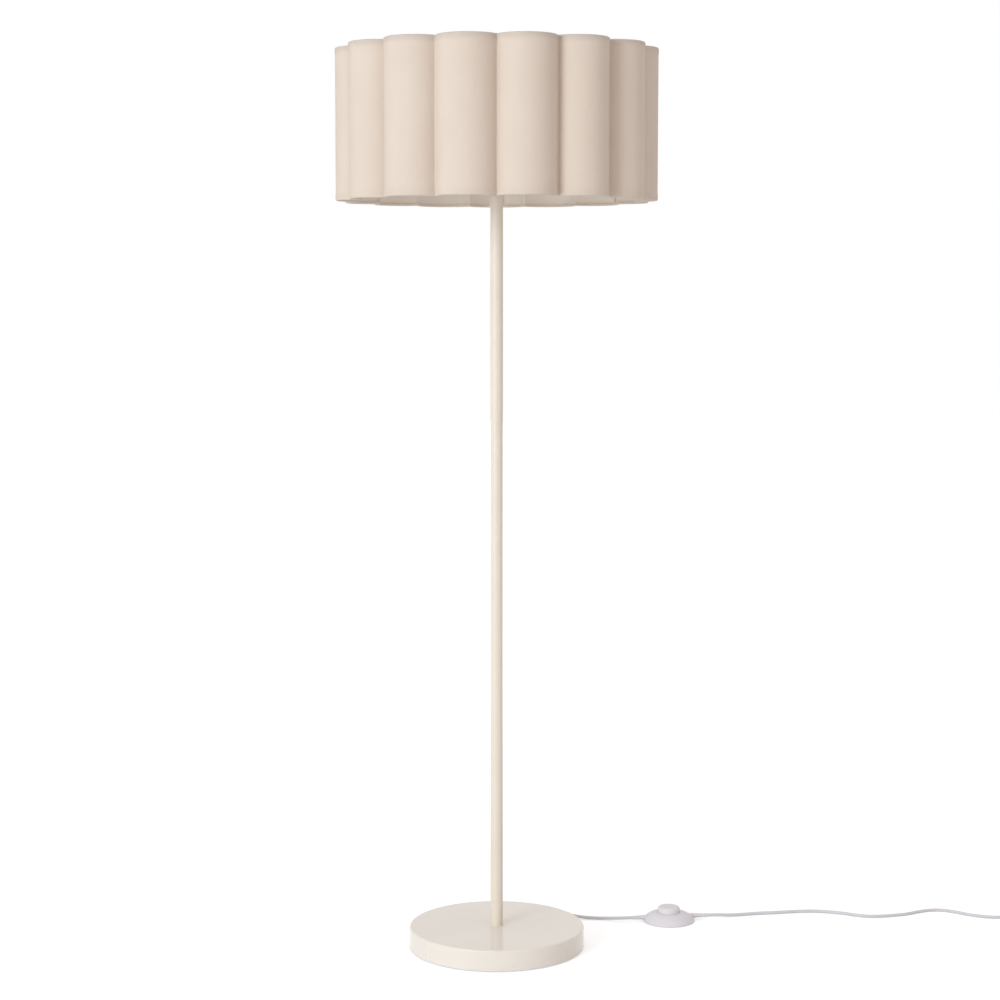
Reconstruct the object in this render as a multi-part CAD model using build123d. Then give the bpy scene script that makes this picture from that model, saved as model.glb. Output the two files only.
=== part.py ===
# Floor lamp with a scalloped drum shade, a weighted round base and a foot switch on its cord.
# Millimetres, +Z up. The origin is on the floor under the pole, and -Y is the front.
from build123d import *
import math
import os

os.makedirs("parts", exist_ok=True)

# Overall sizes
lamp_height = 1420
base_radius = 140
base_height = 34
pole_radius = 10
shade_height = 233
shade_radius = 250.5
scallop_depth = 29.5
scallop_count = 15

# Running and assembly clearances
slip = 0.1
thread_gap = 0.05
running_gap = 0.3
layer_gap = 0.05

# How far a cut runs past the surface that it opens, and the least rounding of an inside corner
past = 1
least_rounding = 0.5

# Base
cover_wall = 1.5
cover_lift = 1.5
cover_edge = 3
felt_thickness = 2
felt_inset = 8
plate_thickness = 2
plate_play = 1
weight_play = 1.5
weight_thickness = 12
weight_bevel = 2
recess_radius = 17
recess_depth = 6
screw_circle = 95
screw_count = 4
screw_radius = 2
screw_length = 12
head_radius = 4
head_height = 1.6
felt_hole_radius = 5.5
post_radius = 6
saddle_reach = 68
saddle_width = 30
saddle_length = 12
saddle_below_cable = 2
saddle_screw_offset = 10
saddle_screw_radius = 1.5
saddle_screw_bite = 5
saddle_head_radius = 2.5
saddle_head_height = 1.2

# Threaded tubes, nuts and bushes that clamp the pole
nipple_radius = 5
nipple_bore = 3.6
washer_radius = 15
washer_thickness = 2
nut_flat = 14
nut_height = 4.5
nipple_below_nut = 1
bush_length = 22
nipple_bite = 18
bush_play = 0.05

# Pole
pole_wall = 1.2
joiner_length = 60
joiner_bore = 5

# Collar and lampholder, stacked on the pole from the bottom up
collar_radius = 12
collar_below_shade = 8
collar_socket = 11
collar_web = 6
cap_floor = 3
cap_neck_radius = 11
cap_flare = 10
cap_height = 26
holder_wall = 2
holder_radius = 19
skirt_radius = 19.4
skirt_height = 32
flange_radius = 22.5
flange_height = 3
lock_nut_height = 3.5
nipple_above_nut = 2
insert_bottom = 12
insert_floor = 18
insert_top_drop = 4
shell_wall = 0.4
bulb_cap_radius = 13.2
ring_nut_radius = 25
ring_nut_height = 8
ring_nut_notches = 24
notch_radius = 1
contact_radius = 4
contact_height = 2

# Bulb
bulb_contact_radius = 4.5
bulb_contact_height = 2
insulator_height = 3
insulator_inset = 1
bulb_cap_height = 22
housing_radius = 26
housing_height = 35
housing_lip = 0.8
housing_waist_height = 10.5
housing_waist_flare = 3
globe_radius = 30

# Shade: fabric over a stiff liner, wire rings folded into hem tapes
tape_thickness = 0.4
fabric_thickness = 0.6
liner_thickness = 0.5
wire_size = 2.8
hem_height = 10
spider_ring_radius = 27
spider_ring_thickness = 2
spider_play = 0.4
arm_radius = 1.75
arm_count = 3
arm_bend = 12
first_valley_angle = -90

# Mains cord, its strain reliefs and its exit from the base
cord_radius = 2.6
cord_clear_of_floor = 0.05
exit_angle = 50
exit_height = 11
inner_bend = 11
neck_radius = 4.4
gland_flange_radius = 6
gland_flange_thickness = 2
gland_length = 22
gland_tip_radius = 3.1
gland_cup_gap = 0.5
run_share = 0.45

# Foot switch
switch_x = 287.6
switch_y = 139.5
switch_yaw = 7
switch_radius = 43
switch_rim = 3
switch_shoulder_radius = 36
switch_shoulder = 9.5
switch_top_radius = 20
switch_top = 15
switch_wall = 2
switch_pad_thickness = 1
switch_pad_inset = 4
switch_floor = 2
switch_cord_height = 7
button_radius = 18.5
button_height = 24.5
button_edge = 4
button_travel = 3
button_wall = 2
button_flange = 1.7
button_flange_thickness = 1.2
plunger_radius = 3
plunger_bore = 3.6
block_length = 24
block_width = 18
block_height = 7
spring_radius = 6
spring_wire = 0.5
spring_turns = 4
boss_circle = 31
boss_radius = 3
boss_angles = [90, 210, 330]
boss_screw_radius = 1.25
boss_screw_bite = 5
boss_head_radius = 2.6
boss_head_height = 0.8
relief_root_radius = 3.9
relief_tip_radius = 3.1
relief_inside = 7
relief_length = 20
terminal_size = 5
terminal_height = 2
core_radius = 1.1
core_offset = 1.6

# Coil of spare cord, its tie and the plug
coil_x = 896
coil_y = 114.8
coil_inner_turn = 28
coil_columns = 2
coil_layers = 3
coil_lead = 22
coil_lift = 0.9
coil_skin = 0.1
coil_edge = 2.1
tie_thickness = 0.7
tie_angle = 18
tie_position = 225
plug_y = 42
plug_relief_length = 22
plug_relief_root = 5
plug_neck_width = 13
plug_neck_thickness = 11
plug_width = 35.3
plug_thickness = 13.7
plug_taper = 14
plug_straight = 22
plug_corner = 3
pin_radius = 2
pin_length = 19
pin_nose = 1.4
pin_spacing = 18.6

parts = {}
UP = (Align.CENTER, Align.CENTER, Align.MIN)


def disc(radius, bottom, top):
    return Pos(0, 0, bottom) * Cylinder(radius, top - bottom, align=UP)


def ring(outer, inner, bottom, top):
    return Pos(0, 0, bottom) * extrude(Circle(outer) - Circle(inner), top - bottom)


def lathe(*outline):
    """Solid of revolution about Z from (radius, height) points."""
    return revolve(Plane.XZ * make_face(Polyline(*outline, close=True)), Axis.Z)


def around(shape, angles):
    """Copies of a shape turned about Z, kept as separate solids."""
    return Compound([solid for angle in angles for solid in (Rot(0, 0, angle) * shape).solids()])


def hexagon_nut(flat, bore, bottom, top):
    outline = RegularPolygon(flat / 2, 6, major_radius=False)
    return Pos(0, 0, bottom) * extrude(outline - Circle(bore), top - bottom)


def screw(head, head_thick, shank, length):
    """Pan head at z 0 and below, shank upwards."""
    return disc(head, -head_thick, 0) + disc(shank, 0, length)


def corner_radii(points):
    """The largest arcs that two neighbouring runs of a cord allow."""
    radii = []
    for before, corner, after in zip(points, points[1:], points[2:]):
        first = Vector(corner) - Vector(before)
        second = Vector(after) - Vector(corner)
        half_turn = math.radians(first.get_angle(second)) / 2
        radii.append(run_share * min(first.length, second.length) / math.tan(half_turn))
    return radii


def cord_tube(name, points):
    """Round cord of straight runs joined by tangent arcs."""
    radii = corner_radii(points)
    path = FilletPolyline(*points, radius=radii)
    section = Plane(origin=path @ 0, z_dir=path % 0) * Circle(cord_radius)
    tube = sweep(section, path)
    expected = math.pi * cord_radius ** 2 * path.length
    print(f"{name}: length {path.length:.1f}, volume {tube.volume:.0f} of {expected:.0f}")
    print("  radii", [round(radius) for radius in radii])
    return tube


# Base: heights from the floor up
plate_bottom = felt_thickness
plate_top = plate_bottom + plate_thickness
cover_inner = base_radius - cover_wall
felt_radius = base_radius - felt_inset
weight_top = base_height - cover_wall
weight_bottom = weight_top - weight_thickness
recess_top = weight_bottom + recess_depth
nut_top = recess_top - washer_thickness
nut_bottom = nut_top - nut_height
nipple_bottom = nut_bottom - nipple_below_nut
screw_angles = [exit_angle + 360 / screw_count * (n + 0.5) for n in range(screw_count)]


def make_base():
    cover = disc(base_radius, cover_lift, base_height)
    cover = fillet(cover.faces().sort_by(Axis.Z)[-1].edges(), cover_edge)
    hollow = disc(cover_inner, cover_lift - past, weight_top)
    inner_edge = max(cover_edge - cover_wall, least_rounding)
    hollow = fillet(hollow.faces().sort_by(Axis.Z)[-1].edges(), inner_edge)
    cover = cover - hollow - disc(nipple_radius + slip, weight_top - past, base_height + past)
    exit_hole = exit_plane * disc(neck_radius + slip, cover_inner - past, base_radius + past)
    parts["base_cover"] = cover - exit_hole

    weight = disc(cover_inner - weight_play, weight_bottom, weight_top)
    weight = chamfer(weight.faces().sort_by(Axis.Z)[-1].edges(), weight_bevel)
    weight -= disc(recess_radius, weight_bottom - past, recess_top)
    weight -= disc(nipple_radius + slip, weight_bottom, weight_top + past)
    for angle in screw_angles:
        weight += Rot(0, 0, angle) * Pos(screw_circle, 0, 0) * disc(post_radius, plate_top, weight_bottom)
    for angle in screw_angles:
        hole = disc(screw_radius + thread_gap, plate_top - past, plate_bottom + screw_length + past)
        weight -= Rot(0, 0, angle) * Pos(screw_circle, 0, 0) * hole
    for side in (-1, 1):
        hole_top = weight_bottom + saddle_screw_bite + past
        hole = disc(saddle_screw_radius + thread_gap, weight_bottom - past, hole_top)
        weight -= Rot(0, 0, exit_angle) * Pos(saddle_reach, side * saddle_screw_offset, 0) * hole
    parts["base_weight"] = weight

    plate = disc(cover_inner - plate_play, plate_bottom, plate_top)
    felt = disc(felt_radius, 0, felt_thickness)
    for angle in screw_angles:
        place = Rot(0, 0, angle) * Pos(screw_circle, 0, 0)
        plate -= place * disc(screw_radius + slip, plate_bottom - past, plate_top + past)
        felt -= place * disc(felt_hole_radius, -past, felt_thickness + past)
    parts["base_plate"] = plate
    parts["base_felt"] = felt
    base_screw = screw(head_radius, head_height, screw_radius, screw_length)
    parts["base_screws"] = around(Pos(screw_circle, 0, plate_bottom) * base_screw, screw_angles)

    parts["clamp_washer"] = ring(washer_radius, nipple_radius + slip, nut_top, recess_top)
    parts["clamp_nut"] = hexagon_nut(nut_flat, nipple_radius + thread_gap, nut_bottom, nut_top)
    parts["base_nipple"] = ring(nipple_radius, nipple_bore, nipple_bottom, base_height + nipple_bite)


def make_saddle():
    """Block under the weight that grips the cable before it turns up into the pole."""
    bottom = exit_height - cord_radius - saddle_below_cable
    fixing = Pos(saddle_reach, 0, bottom)
    block = fixing * Box(saddle_length, saddle_width, weight_bottom - bottom, align=UP)
    channel = Rot(0, 90, 0) * Cylinder(cord_radius + slip, saddle_length + 2 * past)
    block -= Pos(saddle_reach, 0, exit_height) * channel
    length = weight_bottom - bottom + saddle_screw_bite
    screws = []
    for side in (-1, 1):
        place = fixing * Pos(0, side * saddle_screw_offset, 0)
        block -= place * disc(saddle_screw_radius + slip, -past, length)
        fastener = screw(saddle_head_radius, saddle_head_height, saddle_screw_radius, length)
        screws.append(place * fastener)
    parts["cable_saddle"] = Rot(0, 0, exit_angle) * block
    parts["saddle_screws"] = Compound([Rot(0, 0, exit_angle) * one for one in screws])


# Pole: the sections share the height from the base to the collar's web
shade_bottom = lamp_height - shade_height
collar_bottom = shade_bottom - collar_below_shade
pole_bottom = base_height
pole_top = collar_bottom + collar_socket
pole_bore = pole_radius - pole_wall
section_names = ["pole_lower", "pole_middle", "pole_upper"]
joiner_names = ["pole_joiner_lower", "pole_joiner_upper"]
section_length = (pole_top - pole_bottom) / len(section_names)


def make_pole():
    for number, name in enumerate(section_names):
        bottom = pole_bottom + number * section_length
        parts[name] = ring(pole_radius, pole_bore, bottom, bottom + section_length)
    for number, name in enumerate(joiner_names):
        middle = pole_bottom + (number + 1) * section_length
        sleeve = pole_bore - bush_play
        parts[name] = ring(sleeve, joiner_bore, middle - joiner_length / 2, middle + joiner_length / 2)
    sleeve = pole_bore - bush_play
    parts["pole_foot_bush"] = ring(sleeve, nipple_radius + thread_gap, pole_bottom, pole_bottom + bush_length)
    parts["pole_top_bush"] = ring(sleeve, nipple_radius + thread_gap, pole_top - bush_length, pole_top)


# Lampholder: heights from the collar up
cap_bottom = pole_top + collar_web
cap_floor_top = cap_bottom + cap_floor
lock_nut_top = cap_floor_top + lock_nut_height
cap_top = cap_bottom + cap_height
flange_top = cap_top + flange_height
skirt_top = cap_top + skirt_height
insert_base = cap_bottom + insert_bottom
insert_seat = insert_base + insert_floor
insert_top = skirt_top - insert_top_drop
shell_bore = bulb_cap_radius + running_gap
spider_bottom = flange_top + running_gap
spider_top = spider_bottom + spider_ring_thickness
ring_nut_bottom = spider_top + running_gap
cable_top = insert_base - running_gap


def make_lampholder():
    collar = disc(collar_radius, collar_bottom, cap_bottom)
    collar -= disc(pole_radius + slip, collar_bottom - past, pole_top)
    parts["pole_collar"] = collar - disc(nipple_radius + slip, pole_top - past, cap_bottom + past)
    nipple_top = lock_nut_top + nipple_above_nut
    parts["holder_nipple"] = ring(nipple_radius, nipple_bore, pole_top - nipple_bite, nipple_top)
    parts["holder_lock_nut"] = hexagon_nut(nut_flat, nipple_radius + thread_gap, cap_floor_top, lock_nut_top)

    flare_top = cap_bottom + cap_flare
    cap = lathe(
        (nipple_radius + slip, cap_bottom),
        (cap_neck_radius, cap_bottom),
        (holder_radius, flare_top),
        (holder_radius, cap_top),
        (holder_radius - holder_wall, cap_top),
        (holder_radius - holder_wall, flare_top + holder_wall),
        (cap_neck_radius, cap_floor_top),
        (nipple_radius + slip, cap_floor_top),
    )
    parts["holder_cap"] = cap
    skirt = disc(flange_radius, cap_top, flange_top) + disc(skirt_radius, cap_top, skirt_top)
    parts["holder_skirt"] = skirt - disc(holder_radius - holder_wall, cap_top - past, skirt_top + past)

    core = holder_radius - holder_wall - slip
    insert = disc(core, insert_base, insert_top)
    insert -= disc(shell_bore + shell_wall + slip, insert_seat, insert_top + past)
    parts["holder_insert"] = insert
    parts["thread_shell"] = ring(shell_bore + shell_wall, shell_bore, insert_seat, insert_top)
    parts["centre_contact"] = disc(contact_radius, insert_seat, insert_seat + contact_height)

    ring_nut_top = ring_nut_bottom + ring_nut_height
    nut = ring(ring_nut_radius, skirt_radius + thread_gap, ring_nut_bottom, ring_nut_top)
    notch = Pos(ring_nut_radius, 0, 0) * disc(notch_radius, ring_nut_bottom - past, ring_nut_top + past)
    for number in range(ring_nut_notches):
        nut -= Rot(0, 0, 360 / ring_nut_notches * number) * notch
    parts["ring_nut"] = nut


def make_bulb():
    tip = insert_seat + contact_height + running_gap
    contact_top = tip + bulb_contact_height
    insulator_top = contact_top + insulator_height
    cap_end = insulator_top + bulb_cap_height
    housing_top = cap_end + housing_height
    parts["bulb_contact"] = disc(bulb_contact_radius, tip, contact_top)
    parts["bulb_insulator"] = lathe(
        (0, contact_top),
        (bulb_contact_radius, contact_top),
        (bulb_cap_radius - insulator_inset, insulator_top),
        (0, insulator_top),
    )
    parts["bulb_cap"] = disc(bulb_cap_radius, insulator_top, cap_end)
    parts["bulb_housing"] = lathe(
        (0, cap_end),
        (bulb_cap_radius + housing_lip, cap_end),
        (bulb_cap_radius + housing_waist_flare, cap_end + housing_waist_height),
        (housing_radius, housing_top),
        (0, housing_top),
    )
    globe_centre = housing_top + math.sqrt(globe_radius ** 2 - housing_radius ** 2)
    globe = Pos(0, 0, globe_centre) * Sphere(globe_radius)
    parts["bulb_globe"] = globe - disc(globe_radius + past, globe_centre - globe_radius - past, housing_top)


# Shade: scallops are arcs between valleys that are evenly spaced on a circle
valley_radius = shade_radius - scallop_depth
half_step = 180 / scallop_count
half_chord = valley_radius * math.sin(math.radians(half_step))
bulge = shade_radius - valley_radius * math.cos(math.radians(half_step))
lobe_radius = (half_chord ** 2 + bulge ** 2) / (2 * bulge)
lobe_centre = shade_radius - lobe_radius
lobe_half_span = math.degrees(math.atan2(half_chord, lobe_radius - bulge))
fabric_outer = tape_thickness + layer_gap
fabric_inner = fabric_outer + fabric_thickness
liner_outer = fabric_inner + layer_gap
liner_inner = liner_outer + liner_thickness
wire_outer = liner_inner + layer_gap
wire_inner = wire_outer + wire_size
hem_inner = wire_inner + layer_gap + tape_thickness


def polar(radius, angle):
    return Vector(radius * math.cos(math.radians(angle)), radius * math.sin(math.radians(angle)))


def scallops(inset):
    """Scalloped outline, moved inwards by the inset, so that its valleys turn on arcs of that radius."""
    edges = []
    for number in range(scallop_count):
        crown = first_valley_angle + half_step * (2 * number + 1)
        valley = crown + half_step
        centre = polar(lobe_centre, crown)
        next_centre = polar(lobe_centre, valley + half_step)
        start, middle, end = [
            centre + polar(lobe_radius - inset, crown + turn)
            for turn in (-lobe_half_span, 0, lobe_half_span)
        ]
        edges.append(ThreePointArc(start, middle, end))
        if inset > 0:
            next_start = next_centre + polar(lobe_radius - inset, valley + half_step - lobe_half_span)
            edges.append(ThreePointArc(end, polar(valley_radius - inset, valley), next_start))
    return make_face(edges)


def scalloped_wall(outer, inner, bottom, top):
    """Wall of even thickness that follows the scallops."""
    return Pos(0, 0, bottom) * extrude(scallops(outer) - scallops(inner), top - bottom)


def hem(edge, way):
    """Tape folded over the fabric, the liner and the wire. way is 1 at the bottom edge, -1 at the top."""
    def wall(outer, inner, start, end):
        low, high = sorted((edge + way * start, edge + way * end))
        return scalloped_wall(outer, inner, low, high)

    tape = wall(0, tape_thickness, 0, hem_height)
    tape += wall(0, hem_inner, 0, tape_thickness)
    return tape + wall(hem_inner - tape_thickness, hem_inner, 0, tape_thickness + wire_size)


def make_shade():
    fold = tape_thickness + layer_gap
    inside_bottom = shade_bottom + fold
    inside_top = lamp_height - fold
    wire_top = inside_bottom + wire_size
    parts["shade_fabric"] = scalloped_wall(fabric_outer, fabric_inner, inside_bottom, inside_top)
    parts["shade_liner"] = scalloped_wall(liner_outer, liner_inner, inside_bottom, inside_top)
    parts["shade_wire_bottom"] = scalloped_wall(wire_outer, wire_inner, inside_bottom, wire_top)
    parts["shade_wire_top"] = scalloped_wall(wire_outer, wire_inner, inside_top - wire_size, inside_top)
    parts["hem_bottom"] = hem(shade_bottom, 1)
    parts["hem_top"] = hem(lamp_height, -1)
    parts["spider_ring"] = ring(spider_ring_radius, skirt_radius + spider_play, spider_bottom, spider_top)
    arm_z = (spider_bottom + spider_top) / 2
    arm_reach = valley_radius - wire_outer - arm_radius - layer_gap
    path = FilletPolyline(
        (spider_ring_radius + layer_gap, 0, arm_z),
        (arm_reach, 0, arm_z),
        (arm_reach, 0, wire_top),
        radius=arm_bend,
    )
    arm = sweep(Plane(origin=path @ 0, z_dir=path % 0) * Circle(arm_radius), path)
    parts["spider_arms"] = around(arm, [first_valley_angle + 360 / arm_count * n for n in range(arm_count)])


# Cord: the exit's own axes point out of the base through its side wall
exit_direction = polar(1, exit_angle)
exit_plane = Plane(origin=(0, 0, exit_height), x_dir=(0, 0, 1), z_dir=exit_direction)
gland_inner_face = cover_inner - gland_cup_gap - gland_flange_thickness
gland_shoulder = base_radius + slip + gland_flange_thickness
gland_tip = gland_shoulder + gland_length


def make_cable():
    gland = lathe(
        (0, gland_inner_face),
        (gland_flange_radius, gland_inner_face),
        (gland_flange_radius, gland_inner_face + gland_flange_thickness),
        (neck_radius, gland_inner_face + gland_flange_thickness),
        (neck_radius, base_radius + slip),
        (gland_flange_radius, base_radius + slip),
        (gland_flange_radius, gland_shoulder),
        (neck_radius, gland_shoulder),
        (gland_tip_radius, gland_tip),
        (0, gland_tip),
    )
    parts["cord_gland"] = exit_plane * gland
    start = exit_plane.from_local_coords((0, 0, gland_inner_face))
    path = FilletPolyline(start, (0, 0, exit_height), (0, 0, cable_top), radius=inner_bend)
    section = Plane(origin=path @ 0, z_dir=path % 0) * Circle(cord_radius)
    parts["inner_cable"] = sweep(section, path)


# Foot switch: its own axes have the cord along X and the origin on the floor
switch_place = Pos(switch_x, switch_y, 0) * Rot(0, 0, switch_yaw)
floor_top = switch_pad_thickness + switch_floor
relief_tip = switch_radius + relief_length
relief_root = switch_radius - relief_inside
block_top = floor_top + block_height
button_under = button_height - button_wall
button_roof = button_under - button_edge / 2
flange_seat = switch_top - switch_wall - running_gap


def make_switch():
    rim = (switch_radius, switch_rim)
    shoulder = (switch_shoulder_radius, switch_shoulder)
    top = (switch_top_radius, switch_top)
    outside = Polyline((0, switch_pad_thickness), (switch_radius, switch_pad_thickness), rim)
    outside = outside + ThreePointArc(rim, shoulder, top)
    outside = outside + Polyline(top, (0, switch_top), (0, switch_pad_thickness))
    inner_rim = (switch_radius - switch_wall, switch_rim)
    slant = switch_wall * math.sqrt(0.5)
    inner_shoulder = (switch_shoulder_radius - slant, switch_shoulder - slant)
    inner_top = (switch_top_radius, switch_top - switch_wall)
    inside = Polyline((0, 0), (switch_radius - switch_wall, 0), inner_rim)
    inside = inside + ThreePointArc(inner_rim, inner_shoulder, inner_top)
    inside = inside + Polyline(inner_top, (0, switch_top - switch_wall), (0, 0))
    hollow = revolve(Plane.XZ * make_face(inside), Axis.Z)
    cover = revolve(Plane.XZ * make_face(outside), Axis.Z) - hollow
    cover -= disc(button_radius + running_gap, 0, switch_top + past)
    for angle in boss_angles:
        boss = Pos(*polar(boss_circle, angle)) * disc(boss_radius, floor_top, switch_top)
        cover += boss & hollow
    for angle in boss_angles:
        pilot = disc(boss_screw_radius + thread_gap, 0, floor_top + boss_screw_bite)
        cover -= Pos(*polar(boss_circle, angle)) * pilot
    along = Pos(0, 0, switch_cord_height) * Rot(0, 90, 0)
    cover -= along * Cylinder(relief_root_radius + slip, 2 * (switch_radius + past))
    parts["switch_cover"] = switch_place * cover

    pad_radius = switch_radius - switch_pad_inset
    base = disc(switch_radius - switch_wall - slip, switch_pad_thickness, floor_top)
    pad = disc(pad_radius, 0, switch_pad_thickness)
    screws = []
    for angle in boss_angles:
        place = Pos(*polar(boss_circle, angle))
        base -= place * disc(boss_screw_radius + slip, 0, floor_top + past)
        pad -= place * disc(boss_head_radius + slip, -past, switch_pad_thickness + past)
        fixing = screw(boss_head_radius, boss_head_height, boss_screw_radius, boss_screw_bite)
        screws.append(switch_place * place * Pos(0, 0, switch_pad_thickness) * fixing)
    parts["switch_base"] = switch_place * base
    parts["switch_pad"] = switch_place * pad
    parts["switch_screws"] = Compound(screws)

    block = Pos(0, 0, floor_top) * Box(block_length, block_width, block_height, align=UP)
    well_bottom = block_top - 2 * button_travel
    parts["switch_block"] = switch_place * (block - disc(plunger_bore, well_bottom, block_top + past))
    terminals = []
    for side in (-1, 1):
        seat = Pos(side * (block_length / 2 - terminal_size / 2), 0, block_top)
        terminals.append(switch_place * seat * Box(terminal_size, terminal_size, terminal_height, align=UP))
    parts["switch_terminals"] = Compound(terminals)

    button = disc(button_radius, flange_seat, button_height)
    button = fillet(button.faces().sort_by(Axis.Z)[-1].edges(), button_edge)
    button += disc(button_radius + button_flange, flange_seat - button_flange_thickness, flange_seat)
    button -= disc(button_radius - button_wall, 0, button_roof)
    plunger_end = block_top - button_travel / 2
    button += disc(plunger_radius, plunger_end, button_under)
    parts["switch_button"] = switch_place * button

    coil_height = button_roof - block_top - 2 * spring_wire - 2 * layer_gap
    helix = Helix(coil_height / spring_turns, coil_height, spring_radius)
    wire = sweep(Plane(origin=helix @ 0, z_dir=helix % 0) * Circle(spring_wire), helix, is_frenet=True)
    parts["switch_spring"] = switch_place * Pos(0, 0, block_top + spring_wire + layer_gap) * wire

    reliefs = {"switch_relief_lamp": 180, "switch_relief_plug": 0}
    cone = Pos(relief_root, 0, 0) * Rot(0, 90, 0) * Cone(
        relief_root_radius, relief_tip_radius, relief_tip - relief_root, align=UP
    )
    core = Rot(0, 90, 0) * Cylinder(core_radius, relief_root - block_length / 2, align=UP)
    level = Pos(0, 0, switch_cord_height)
    leads = []
    for name, turn in reliefs.items():
        parts[name] = switch_place * Rot(0, 0, turn) * level * cone
        for side in (-1, 1):
            seat = Pos(block_length / 2, side * core_offset, 0)
            leads.append(switch_place * Rot(0, 0, turn) * level * seat * core)
    parts["switch_leads"] = Compound(leads)


# Routes of the free cord on the floor. The first and last points are set by what the cord leaves and enters.
on_floor = cord_radius + cord_clear_of_floor
lamp_tip = exit_plane.from_local_coords((0, 0, gland_tip))
switch_axis = polar(1, switch_yaw)
switch_middle = Vector(switch_x, switch_y, switch_cord_height)
switch_left = switch_middle - switch_axis * relief_tip
switch_right = switch_middle + switch_axis * relief_tip
outer_turn = coil_inner_turn + 2 * cord_radius * (coil_columns - 1)
first_layer = coil_lift + cord_radius
last_layer = first_layer + 2 * cord_radius * (coil_layers - 1)
coil_entry = Vector(coil_x - coil_lead, coil_y + outer_turn, first_layer)
coil_exit = Vector(coil_x + outer_turn, coil_y - coil_lead, last_layer)
plug_axis_height = plug_thickness / 2 + cord_clear_of_floor
plug_tip = Vector(coil_x + outer_turn, plug_y, plug_axis_height)

lamp_route = [
    lamp_tip,
    lamp_tip + exit_direction * 12,
    (124.0, 142.4, 8.4),
    (136.0, 145.8, 5.0),
    (152.0, 146.4, 3.0),
    (171.0, 144.4, on_floor),
    (190.0, 138.0, 4.4),
    switch_left - switch_axis * 17,
    switch_left,
]
floor_route = [
    switch_right,
    switch_right + switch_axis * 20,
    (390.0, 157.5, 3.9),
    (412.0, 165.5, 2.8),
    (440.0, 173.5, on_floor),
    (470.0, 177.0, on_floor),
    (504.0, 184.0, on_floor),
    (532.0, 187.5, on_floor),
    (562.0, 182.0, on_floor),
    (588.0, 172.5, on_floor),
    (608.0, 159.5, on_floor),
    (632.0, 154.0, on_floor),
    (660.0, 158.5, on_floor),
    (692.0, 168.0, on_floor),
    (716.0, 184.5, on_floor),
    (744.0, 195.0, on_floor),
    (768.0, 187.5, on_floor),
    (788.0, 170.5, on_floor),
    (808.0, 157.0, on_floor),
    (831.0, 149.5, on_floor),
    coil_entry - Vector(21, 0, 0),
    coil_entry,
]
tail_route = [
    coil_exit,
    coil_exit + Vector(0, -13, 0),
    (coil_exit.X + 1.5, coil_exit.Y - 27, 11.5),
    plug_tip + Vector(0, 12, 0),
    plug_tip,
]


def make_cords():
    parts["cord_lamp"] = cord_tube("cord_lamp", lamp_route)
    parts["cord_floor"] = cord_tube("cord_floor", floor_route)
    parts["cord_tail"] = cord_tube("cord_tail", tail_route)


def make_coil():
    inner = coil_inner_turn - cord_radius - coil_skin
    outer = outer_turn + cord_radius + coil_skin
    top = last_layer + cord_radius + coil_skin
    coil = ring(outer, inner, coil_lift - coil_skin, top)
    for face in (coil.faces().sort_by(Axis.Z)[-1], coil.faces().sort_by(Axis.Z)[0]):
        coil = fillet(face.edges(), coil_edge)
    coil = Pos(coil_x, coil_y, 0) * coil
    lead_in = Plane(origin=coil_entry, z_dir=(1, 0, 0)) * Cylinder(cord_radius, coil_lead, align=UP)
    lead_out = Plane(origin=coil_exit, z_dir=(0, 1, 0)) * Cylinder(cord_radius, coil_lead, align=UP)
    parts["cord_coil"] = coil + lead_in + lead_out

    hug = Pos((inner + outer) / 2, (coil_lift - coil_skin + top) / 2)
    width = outer - inner + 2 * layer_gap
    height = top - coil_lift + coil_skin + 2 * layer_gap
    around_coil = Rectangle(width, height)
    outside = Rectangle(width + 2 * tie_thickness, height + 2 * tie_thickness)
    loop = hug * (outside - around_coil)
    band = revolve(Plane.XZ * loop, Axis.Z, tie_angle)
    parts["coil_tie"] = Pos(coil_x, coil_y, 0) * Rot(0, 0, tie_position) * band


def make_plug():
    """Plug lying flat, its pins towards -Y. Its own axis runs from the relief's tip to the pins."""
    axis = Plane(origin=plug_tip, x_dir=(1, 0, 0), z_dir=(0, -1, 0))
    relief = Cone(gland_tip_radius, plug_relief_root, plug_relief_length, align=UP)
    parts["plug_relief"] = axis * relief
    waist_start = plug_relief_length + plug_taper
    neck_outline = RectangleRounded(plug_neck_width, plug_neck_thickness, plug_corner)
    neck = Pos(0, 0, plug_relief_length) * neck_outline
    waist = Pos(0, 0, waist_start) * RectangleRounded(plug_width, plug_thickness, plug_corner)
    body = loft([neck, waist]) + extrude(waist, plug_straight)
    parts["plug_body"] = axis * body
    face = waist_start + plug_straight
    pins = []
    for side in (-1, 1):
        pin = Pos(side * pin_spacing / 2, 0, face) * Cylinder(pin_radius, pin_length, align=UP)
        pins.append(axis * fillet(pin.edges().sort_by(Axis.Z)[-1], pin_nose))
    parts["plug_pins"] = Compound(pins)


make_base()
make_saddle()
make_pole()
make_lampholder()
make_bulb()
make_shade()
make_cable()
make_switch()
make_cords()
make_coil()
make_plug()

for name, shape in parts.items():
    export_step(shape, f"parts/{name}.step")
print(len(parts), "nodes")
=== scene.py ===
import math

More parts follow.
